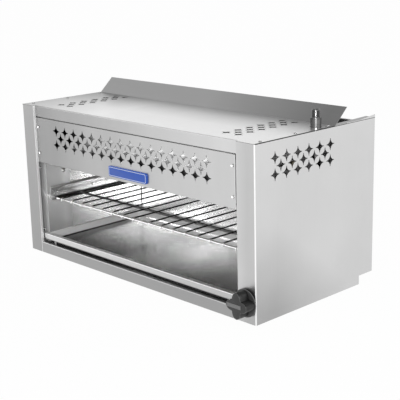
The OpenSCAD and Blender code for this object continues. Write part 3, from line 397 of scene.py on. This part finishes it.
def left_tones(m):
    """The stile, lighter higher up in painted light, a painted highlight on its inner edge, and the wall."""
    # Painted light up the stile, and a painted highlight on its inner edge.
    stile = over(m.along("Z", 0.0, 0.43, 0.38, 0.44), 1.0, stile_edge(m))
    return over(stile, wall_tones(m), m.along("X", -0.4562, -0.4570))


def left_rough(m):
    return over(0.36, 0.5, stile_edge(m))


def left_metal(m):
    return over(1.0, 0.4, stile_edge(m))


def back_tones(m):
    """The back panel, a little lighter towards its top."""
    return m.along("Z", 0.0, 0.43, 0.52, 0.58)


def liner_tones(m):
    """The walls, painted shade in their rear corner, the light flanges behind the stiles, and the dull outer
    side.
    """
    # Painted shade in the rear corner.
    corner = m.along("Y", 0.1872, 0.1880)
    wall = over(m.along("Z", 0.0, 0.3, 0.90, 0.88), 0.35, corner)
    return over(over(wall, 0.95, flange(m)), 0.45, outer_side(m))


def liner_rough(m):
    return over(0.24, 0.6, flange(m))


def liner_metal(m):
    """Less of a mirror near the front, and none on the outer side."""
    wall = m.along("Y", -0.11, -0.04, 0.6, 1.0)
    return over(over(wall, 0.4, flange(m)), 0.0, outer_side(m))


def rear_tones(m):
    """The cavity's rear wall, lighter to the left, painted shade along its left corner, and painted shade in
    the flue.
    """
    # Painted shade along the left corner.
    corner = m.along("X", -0.3972, -0.3980)
    wall = over(m.along("X", -0.15, 0.05, 0.98, 0.80), 0.95, behind_tray(m))
    # Painted shade in the flue.
    return over(over(wall, 0.35, corner), 0.12, flue(m))


def rear_rough(m):
    return over(0.23, 0.6, flue(m))


def rear_metal(m):
    return over(over(1.0, 0.1, behind_tray(m)), 0.3, flue(m))


def guide_tones(m):
    # Painted highlights: the ears are white.
    return over(0.7, 1.0, ear(m))


def guide_metal(m):
    return over(1.0, 0.2, ear(m))


def tray_tones(m):
    """The floor, with a painted reflection brightest at its middle and its back and darker at the front, and
    painted light on the sides.
    """
    # Painted reflection across the floor.
    across = m.along("X", -0.12, 0.02, 0.36, 1.0) - m.along("X", 0.07, 0.23, 0.0, 0.5)
    inward = m.along("Y", 0.09, 0.15, 0.0, 0.5) - m.along("Y", 0.0, -0.13, 0.0, 0.26)
    # Painted light on the sides.
    return over(across + inward, 1.0, tray_side(m))


def tray_rough(m):
    return over(0.24, 0.5, tray_side(m))


def tray_metal(m):
    return over(1.0, 0.3, tray_side(m))


def glow_tones(m):
    """The reflector behind the front stars, with painted shade high up to the left and low down to the
    right, and painted light high up to the right.
    """
    # Painted light and shade in two rows.
    high = m.along("X", -0.24, -0.12, 0.02, 0.55) + m.along("X", 0.0, 0.2, 0.0, 0.45)
    low = m.along("X", -0.3, -0.05, 0.35, 0.05)
    return over(low, high, m.along("Z", 0.330, 0.336))


def inner_shade_tones(m):
    """Painted shade: dark all over on the parts inside the burner."""
    return m.along("X", -0.4, 0.4, 0.10, 0.12)


def frame_tones(m):
    """The rack's frame, dark in painted shade, with a painted highlight along its front bar."""
    # Painted shade on the frame, and a painted highlight on its front bar.
    return over(0.16, 0.95, m.along("Y", -0.1430, -0.1445))


def wire_tones(m):
    """The cross wires, dark in painted shade, with painted highlights at their front ends."""
    # Painted shade on the wires, and painted highlights at their front ends.
    return over(0.08, 1.0, m.along("Y", -0.1440, -0.1470))


def pipe_tones(m):
    """Pipe, with painted shade dark at the sides of the inlet as the photograph shows it, and one bright
    painted reflection running up it.
    """
    inlet_x, inlet_y, coupling_r = 0.4282, 0.0527, 0.0135
    view_x, view_y = 0.69, 0.72
    x, y, _ = m.axes()
    across = ((x - inlet_x) * view_x + (y - inlet_y) * view_y) / coupling_r
    # Painted reflection running up the pipe, placed by the view direction.
    reflection_streak = (1 - abs(across + 0.10) * 4.5).clamp()
    # Painted shade at the pipe's sides.
    edge = (abs(across) * 1.6 - 0.75).clamp()
    return 0.18 + reflection_streak * 0.5 - edge * 0.15


def knob_tones(m):
    """Black, a little greyer on the grip's flat front, with painted highlights round the edges of the grip
    and the skirt.
    """
    # Painted highlights round the edges of the grip and the skirt.
    grip_edge = band(m, "Y", -0.2349, -0.2342)
    skirt_edge = band(m, "Y", -0.2050, -0.2042)
    front = m.along("Y", -0.232, -0.234)
    return over(0.006, 0.016, front) + (grip_edge * 0.05 + skirt_edge * 0.12)


def knob_rough(m):
    """Smoother towards the grip's front."""
    return over(0.45, 0.25, m.along("Y", -0.2290, -0.2300))


# ---- the materials themselves; a grain is in waves per metre along each axis

X_GRAIN = (6, 900, 900)
Y_GRAIN = (900, 6, 900)
Z_GRAIN = (900, 900, 6)
MOULDED = (200, 200, 200)

panel_steel = brushed("panel_steel", panel_tones, 0.34, X_GRAIN, cloud=0.14, patch=(9, 9, 1.5))
hem_steel = brushed("hem_steel", hem_tones, 0.55, X_GRAIN, metal=0.4)
rail_steel = brushed("rail_steel", rail_tones, 0.34, X_GRAIN)
bar_steel = brushed("bar_steel", bar_tones, 0.3, X_GRAIN)
side_steel = brushed("side_steel", right_tones, 0.36, Z_GRAIN, cloud=0.12)
left_steel = brushed("left_steel", left_tones, left_rough, Z_GRAIN, metal=left_metal)
top_steel = brushed("top_steel", top_tones, 0.34, X_GRAIN, cloud=0.10, patch=(9, 1.5, 1.5))
slope_steel = brushed("slope_steel", slope_tones, 0.38, X_GRAIN)
liner_steel = brushed("liner_steel", liner_tones, liner_rough, Y_GRAIN, cloud=0.08, metal=liner_metal)
guide_steel = brushed("guide_steel", guide_tones, 0.28, Y_GRAIN, metal=guide_metal)
rear_steel = brushed("rear_steel", rear_tones, rear_rough, X_GRAIN, metal=rear_metal)
back_steel = brushed("back_steel", back_tones, 0.4, Z_GRAIN, cloud=0.08)
glow_steel = brushed("glow_steel", glow_tones, 0.3, X_GRAIN)
tray_steel = brushed("tray_steel", tray_tones, tray_rough, X_GRAIN, cloud=0.1, metal=tray_metal)
floor_steel = brushed("floor_steel", 0.9, 0.6, X_GRAIN, metal=0.1)
plain_steel = brushed("plain_steel", 0.42, 0.45, X_GRAIN, cloud=0.06)
# Dark painted shade on the parts inside the burner, seen through the vents.
inner_shade_steel = brushed("inner_shade_steel", inner_shade_tones, 0.5, X_GRAIN, cloud=0.03)
pipe_steel = brushed("pipe_steel", pipe_tones, 0.25, Z_GRAIN, cloud=0.03)
frame_wire = brushed("frame_wire", frame_tones, 0.22, X_GRAIN, cloud=0.0)
cross_wire = brushed("cross_wire", wire_tones, 0.25, Y_GRAIN, cloud=0.0)
knob_black = brushed("knob_black", knob_tones, knob_rough, MOULDED, cloud=0.0, metal=0.0)
screw_steel = plain("screw_steel", tone(0.9), metallic=1.0, rough=0.2)
# Painted shade round the base of each screw head.
screw_seat = plain("screw_seat", tone(0.10), metallic=1.0, rough=0.5)
brass = plain("brass", (0.30, 0.27, 0.20), metallic=1.0, rough=0.4)
ceramic = plain("ceramic", (0.78, 0.72, 0.62), metallic=0.0, rough=0.8)
pointer_grey = plain("pointer_grey", tone(0.16), metallic=0.0, rough=0.4)
badge_blue = plain("badge_blue", (0.02, 0.09, 0.46), metallic=0.0, rough=0.25)
badge_light = plain("badge_light", (0.62, 0.70, 0.90), metallic=0.0, rough=0.3)

FINISH = {
    panel_steel: "front_panel",
    hem_steel: "front_panel_stiffeners left_frame_rail",
    bar_steel: "tray_front_bar tray_stop",
    rail_steel: "bottom_front_rail",
    side_steel: "right_side_panel",
    left_steel: "left_side_panel",
    top_steel: "top_panel",
    slope_steel: "flue_deflector deflector_strip",
    liner_steel: "left_liner right_liner",
    guide_steel: "left_rack_guide right_rack_guide left_tray_guide right_tray_guide",
    rear_steel: "rear_liner",
    back_steel: "back_panel",
    glow_steel: "front_reflector",
    tray_steel: "drip_tray",
    floor_steel: "bottom_pan",
    plain_steel: "right_frame_rail front_panel_brackets burner_brackets venturi_tube pilot_burner",
    inner_shade_steel: "ceiling_panel burner_plenum tile_retainer burner_screen",
    frame_wire: "rack_frame",
    cross_wire: "rack_wires",
    screw_steel: "liner_plug air_shutter burner_feed_tube valve_bracket valve_stem pilot_tube pilot_bracket "
                 "top_panel_screws front_panel_screws liner_screws rack_guide_screws tray_guide_screws "
                 "back_panel_screws valve_bracket_screws",
    pipe_steel: "gas_inlet_nipple gas_inlet_coupling supply_riser supply_elbow supply_run",
    brass: "orifice_fitting gas_valve pilot_valve",
    ceramic: "ceramic_tiles",
    knob_black: "control_knob",
    pointer_grey: "knob_pointer",
    badge_blue: "badge_plate",
}
for material, names in FINISH.items():
    for name in names.split():
        nodes[name].data.materials.clear()
        nodes[name].data.materials.append(material)


# ---------------------------------------------------------------- new pieces

def piece(name, bm, material, body="cabinet", stands_for=(), smooth=35):
    """A finished mesh as an object of its own, which moves with a body; smooth is in degrees."""
    bmesh.ops.remove_doubles(bm, verts=bm.verts[:], dist=WELD)
    bmesh.ops.recalc_face_normals(bm, faces=bm.faces[:])
    for e in bm.edges:
        e.smooth = len(e.link_faces) == 2 and e.calc_face_angle(0) < math.radians(smooth)
    for face in bm.faces:
        face.smooth = True
    mesh = bpy.data.meshes.new(name)
    bm.to_mesh(mesh)
    bm.free()
    mesh.materials.append(material)
    o = bpy.data.objects.new(name, mesh)
    scene.collection.objects.link(o)
    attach(o, body)
    if stands_for:
        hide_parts(*stands_for)
    return o


def disc(bm, radius, segments):
    """A flat disc round the Z axis, as a list of its one face."""
    corners = bmesh.ops.create_circle(bm, cap_ends=True, segments=segments, radius=radius)["verts"]
    return corners[0].link_faces[:]


def rise(bm, faces, depth):
    """Extrudes faces straight up and returns the new top faces."""
    new = bmesh.ops.extrude_face_region(bm, geom=faces)["geom"]
    bmesh.ops.translate(bm, vec=(0, 0, depth), verts=[v for v in new if isinstance(v, bmesh.types.BMVert)])
    bmesh.ops.delete(bm, geom=faces, context="FACES_ONLY")
    return [f for f in new if isinstance(f, bmesh.types.BMFace)]


def rim(faces):
    """The edges round the outside of some faces."""
    inside = set(faces)
    return [e for f in faces for e in f.edges if sum(g in inside for g in e.link_faces) == 1]


def soften(bm, edges, size, segments):
    """Rounds some edges."""
    bmesh.ops.bevel(bm, geom=edges, offset=size, segments=segments, profile=0.5, affect="EDGES", material=-1)


def to_front(bm, x, y, z):
    """Turns what was built upwards to face the front, at a place."""
    quarter = Matrix.Rotation(math.radians(90), 3, "X")
    bmesh.ops.rotate(bm, cent=(0, 0, 0), matrix=quarter, verts=bm.verts[:])
    bmesh.ops.translate(bm, vec=(x, y, z), verts=bm.verts[:])


def plate(bm, w, h, r):
    """A flat plate with round corners."""
    corners = bmesh.ops.create_grid(bm, x_segments=1, y_segments=1, size=0.5)["verts"]
    bmesh.ops.scale(bm, vec=(w, h, 1), verts=corners)
    bmesh.ops.bevel(bm, geom=corners, offset=r, segments=6, profile=0.5, affect="VERTICES", material=-1)
    return bm.faces[:]


def make_knob():
    """A lobed grip on a thin skirt, which a narrower hub holds off the stile."""
    low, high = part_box("control_knob")
    mid = (low + high) / 2
    skirt_r = (high.x - low.x) / 2
    bm = bmesh.new()
    skirt = bmesh.ops.create_cone(bm, cap_ends=True, segments=96, radius1=skirt_r, radius2=skirt_r,
                                  depth=SKIRT_H)["verts"]
    bmesh.ops.translate(bm, vec=(0, 0, SKIRT_MID), verts=skirt)
    soften(bm, rim([f for f in bm.faces if len(f.verts) > 4]), SKIRT_EDGE, 4)
    rise(bm, disc(bm, HUB_R, 64), HUB_H)
    grip = disc(bm, 1, 128)
    for v in grip[0].verts:
        turn = math.atan2(v.co.y, v.co.x)
        lobe = 0.5 + 0.5 * math.cos(LOBES * turn)
        v.co.xy *= GRIP_WAIST + (GRIP_REACH - GRIP_WAIST) * lobe ** 0.7
    bmesh.ops.translate(bm, vec=(0, 0, GRIP_FOOT), verts=grip[0].verts[:])
    top = rise(bm, grip, high.y - low.y - GRIP_FOOT)
    soften(bm, rim(top), GRIP_EDGE, 4)
    to_front(bm, mid.x, high.y, mid.z)
    piece("knob_body", bm, knob_black, "knob", ["control_knob"])


def make_badge():
    """A blank plate, and a thin light border that stands a little proud of it."""
    low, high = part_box("badge_plate")
    mid = (low + high) / 2
    w, h = high.x - low.x, high.z - low.z
    bm = bmesh.new()
    top = rise(bm, plate(bm, w, h, BADGE_CORNER), high.y - low.y)
    soften(bm, rim(top), BADGE_EDGE, 3)
    to_front(bm, mid.x, high.y, mid.z)
    piece("badge_face", bm, badge_blue, "cabinet", ["badge_plate"])
    bm = bmesh.new()
    inner = plate(bm, w - 2 * BORDER_INSET, h - 2 * BORDER_INSET, BORDER_CORNER)
    bmesh.ops.inset_region(bm, faces=inner, thickness=BORDER_W, use_boundary=True)
    bmesh.ops.delete(bm, geom=inner, context="FACES_ONLY")
    rise(bm, bm.faces[:], BORDER_H)
    to_front(bm, mid.x, low.y + BORDER_SUNK, mid.z)
    piece("badge_border", bm, badge_light)


def turned(name, node, profile, material):
    """A piece turned round a node's upright middle.

    Its profile is closed, each point a radius and a height in millimetres.
    """
    low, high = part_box(node)
    mid = (low + high) / 2
    bm = bmesh.new()
    ring = [bm.verts.new((r * MM, 0, z * MM)) for r, z in profile]
    line = [bm.edges.new(ends) for ends in zip(ring, ring[1:] + ring[:1])]
    bmesh.ops.spin(bm, geom=ring + line, cent=(0, 0, 0), axis=(0, 0, 1), angle=math.tau, steps=64,
                   use_merge=True)
    bmesh.ops.translate(bm, vec=(mid.x, mid.y, low.z), verts=bm.verts[:])
    piece(name, bm, material, "cabinet", [node], 25)


def make_pipe_end():
    """The inlet's threaded end over its ringed coupling, in millimetres."""
    bore, pipe, top = 8, 10.6, 41
    crest, depth, half_pitch, start = 10.4, 0.9, 0.9, 23
    thread = [(crest - depth * (i % 2), start + i * half_pitch) for i in range(19)]
    turned("threaded_pipe_end", "gas_inlet_nipple",
           [(bore, 0), (pipe, 0), (pipe, 20.6), (10.0, 22), *thread, (9.6, top), (bore, top)], pipe_steel)
    inner, groove, ring = 10.66, 13.1, 13.5
    turned("ringed_coupling", "gas_inlet_coupling",
           [(inner, 0), (12.4, 0), (ring, 1.2), (ring, 14), (groove, 14.6), (groove, 22), (ring, 22.6),
            (ring, 33), (groove, 33.4), (groove, 34), (ring, 34.4), (ring, 36.2), (12.7, 37), (inner, 37)],
           pipe_steel)


def solids(node):
    """The lowest and highest corner of every separate solid of a CAD node."""
    bm = bmesh.new()
    bm.from_mesh(nodes[node].data)
    bm.transform(nodes[node].matrix_world)
    bmesh.ops.remove_doubles(bm, verts=bm.verts[:], dist=WELD)
    reached, found = set(), []
    for first in bm.verts:
        if first in reached:
            continue
        reached.add(first)
        edge, part = [first], []
        while edge:
            v = edge.pop()
            part.append(v.co.copy())
            near = {e.other_vert(v) for e in v.link_edges} - reached
            reached |= near
            edge += near
        found.append([Vector([pick(c[i] for c in part) for i in range(3)]) for pick in (min, max)])
    bm.free()
    return found


def cross_recess(bm, faces, width, reach, depth):
    """Sinks a cross into flat faces round the Z axis."""
    geom = faces + list(dict.fromkeys(x for f in faces for x in (*f.edges, *f.verts)))
    for axis in (Vector((1, 0, 0)), Vector((0, 1, 0))):
        for at in (-reach, -width / 2, width / 2, reach):
            cut = bmesh.ops.bisect_plane(bm, geom=geom, plane_co=axis * at, plane_no=axis, dist=WELD)
            geom = cut["geom"]
    middles = [(f, f.calc_center_median()) for f in geom if isinstance(f, bmesh.types.BMFace)]
    near = [(f, sorted((abs(c.x), abs(c.y)))) for f, c in middles]
    rise(bm, [f for f, (low, high) in near if low < width / 2 and high < reach], -depth)


def make_screws(node, facing):
    """Pan-head screws with cross recesses in place of a node's plain ones, facing the way given."""
    bm = bmesh.new()
    for low, high in solids(node):
        mid = (low + high) / 2
        way = facing(mid)
        length = abs((high - low).dot(way))
        seat = mid + way * (length / 2 - HEAD_H)
        one = bmesh.new()
        soften(one, rim(rise(one, disc(one, HEAD_R, 32), HEAD_H)), HEAD_EDGE, 4)
        for f in one.faces:
            # Painted shade on the head's lower flank.
            f.material_index = f.calc_center_median().z < SEAT_H
        top = [f for f in one.faces if f.calc_center_median().z > HEAD_H - WELD]
        cross_recess(one, top, SLOT_W, SLOT_REACH, SLOT_DEPTH)
        rise(one, disc(one, SHANK_R, 16), HEAD_H - length)
        turn = Vector((0, 0, 1)).rotation_difference(way).to_matrix().to_4x4()
        one.transform(Matrix.Translation(seat) @ turn)
        mesh = bpy.data.meshes.new("one_screw")
        one.to_mesh(mesh)
        one.free()
        bm.from_mesh(mesh)
        bpy.data.meshes.remove(mesh)
    heads = piece(node.replace("_screws", "_pan_screws"), bm, screw_steel, "cabinet", [node])
    heads.data.materials.append(screw_seat)


make_knob()
make_badge()
make_pipe_end()
make_screws("top_panel_screws", lambda at: Vector((0, 0, 1)))
for name in ("front_panel_screws", "liner_screws", "valve_bracket_screws"):
    make_screws(name, lambda at: Vector((0, -1, 0)))
for name in ("rack_guide_screws", "tray_guide_screws"):
    make_screws(name, lambda at: Vector((-1 if at.x > 0 else 1, 0, 0)))
make_screws("back_panel_screws", lambda at: Vector((0, 1, 0)))


# ---------------------------------------------------------------- stage

FLOOR_SIZE = 80
FLOOR_WHITE = 0.97  # how much of the floor's white the camera and the steel see
SKY_DIMS_FROM = 0.25  # heights on the sky's sphere, from 0 level to 1 overhead
SKY_DIMS_OVER = 0.4
LOW_SKY = (*tone(0.98), 1.0)
HIGH_SKY = (*tone(0.45), 1.0)


def plane(name, size, place, material):
    """A square of the studio, which isn't part of the object."""
    bpy.ops.mesh.primitive_plane_add(size=size, location=place)
    o = bpy.context.object
    o.name = name
    o.data.materials.append(material)


floor = Mat("floor", tone(0.9), 0.0, 0.9)
camera_ray = floor.node("ShaderNodeLightPath", out="Is Camera Ray")
glossy_ray = floor.node("ShaderNodeLightPath", out="Is Glossy Ray")
seen = (camera_ray + glossy_ray).clamp() * FLOOR_WHITE
glow = floor.node("ShaderNodeEmission", inputs={0: WHITE})
mixed = floor.node("ShaderNodeMixShader", inputs={0: seen, 1: Sock(floor, floor.bsdf.outputs[0]), 2: glow})
floor.put(floor.tree.nodes["Material Output"].inputs[0], mixed)
plane("floor", FLOOR_SIZE, (0, 0, 0), floor.mat)

# The camera sees white all round. The steel sees a sky that is dimmer overhead.
world = bpy.data.worlds.new("studio")
scene.world = world
world.use_nodes = True
sky = Tree(world.node_tree)
toward = sky.node("ShaderNodeTexCoord", out="Generated")
height = sky.node("ShaderNodeSeparateXYZ", inputs={0: toward}, out="Z")
shaded = sky.blend(((height - SKY_DIMS_FROM) / SKY_DIMS_OVER).clamp(), LOW_SKY, HIGH_SKY)
camera_ray = sky.node("ShaderNodeLightPath", out="Is Camera Ray")
sky.put(sky.tree.nodes["Background"].inputs[0], sky.blend(camera_ray, shaded, WHITE))


def softbox(name, place, aim, size, power):
    """A rectangular lamp at a place, aimed at a point: its size in metres and its power in watts."""
    data = bpy.data.lights.new(name, "AREA")
    data.shape = "RECTANGLE"
    data.size, data.size_y = size
    data.energy = power
    o = bpy.data.objects.new(name, data)
    o.location = place
    o.rotation_mode = "QUATERNION"
    o.rotation_quaternion = (Vector(aim) - Vector(place)).to_track_quat("-Z", "Y")
    scene.collection.objects.link(o)
    return o


softbox("over", place=(0.3, -0.3, 2.6), aim=(0, 0, 0.2), size=(2.4, 2.4), power=8)
softbox("right", place=(2.6, 0.6, 1.2), aim=(0, 0, 0.2), size=(1.6, 1.6), power=8)
softbox("left", place=(-2.4, -2.2, 0.78), aim=(0, -0.15, 0.35), size=(1.4, 0.3), power=4)
front = softbox("front", place=(2.5, -2.35, 1.15), aim=(0, 0, 0.15), size=(1.2, 0.8), power=30)

# The front lamp is there for the cavity: the top, seen from behind, would mirror it.
shaded_from_front = bpy.data.collections.new("shaded_from_front")
shaded_from_front.objects.link(nodes["top_panel"])
shaded_from_front.collection_objects[0].light_linking.link_state = "EXCLUDE"
front.light_linking.receiver_collection = shaded_from_front
